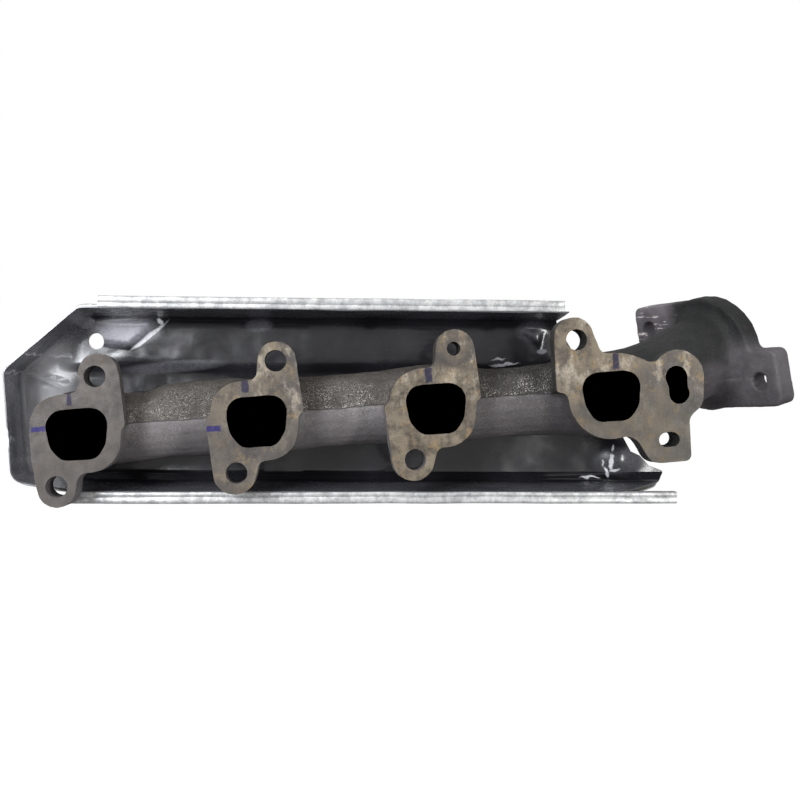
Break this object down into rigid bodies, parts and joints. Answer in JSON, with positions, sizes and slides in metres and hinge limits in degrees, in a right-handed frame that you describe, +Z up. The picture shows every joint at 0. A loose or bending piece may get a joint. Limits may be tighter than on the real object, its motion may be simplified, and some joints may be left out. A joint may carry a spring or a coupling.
{
  "type": "exhaust manifold",
  "caption": "Cast-iron log exhaust manifold with D-shaped ports, a recirculation slot, an angled bolted outlet and a pressed sheet heat shield fixed on its back.",
  "frame": {"origin": "a point on the machined face of the third port flange, between its port and its locating hole", "axes": "-Y out of the machined flange faces towards the cylinder head, +X along the row of ports towards the outlet, +Z up"},
  "size_m": [0.5229, 0.1239, 0.1639],
  "materials": {
    "casting": "as-cast, dark grey-brown, with machined flange faces",
    "black_sheet": "dark heat-stained sheet, semi-gloss",
    "bright_sheet": "aluminised steel, mottled, satin",
    "fibre_mat": "needled glass fibre, matt",
    "zinc_steel": "zinc-plated steel, satin",
    "wire_mesh": "knitted wire, dull"
  },
  "bodies": {
    "root": {"manifold_casting": "casting", "shield_inner_skin": "black_sheet", "shield_insulation": "fibre_mat", "shield_outer_skin": "bright_sheet", "shield_sleeve_1": "zinc_steel", "shield_mesh_ring_1": "wire_mesh", "shield_washer_1": "zinc_steel", "shield_bolt_1": "zinc_steel", "shield_sleeve_2": "zinc_steel", "shield_mesh_ring_2": "wire_mesh", "shield_washer_2": "zinc_steel", "shield_bolt_2": "zinc_steel", "shield_sleeve_3": "zinc_steel", "shield_mesh_ring_3": "wire_mesh", "shield_washer_3": "zinc_steel", "shield_bolt_3": "zinc_steel", "shield_sleeve_4": "zinc_steel", "shield_mesh_ring_4": "wire_mesh", "shield_washer_4": "zinc_steel", "shield_bolt_4": "zinc_steel"}
  },
  "joints": []
}
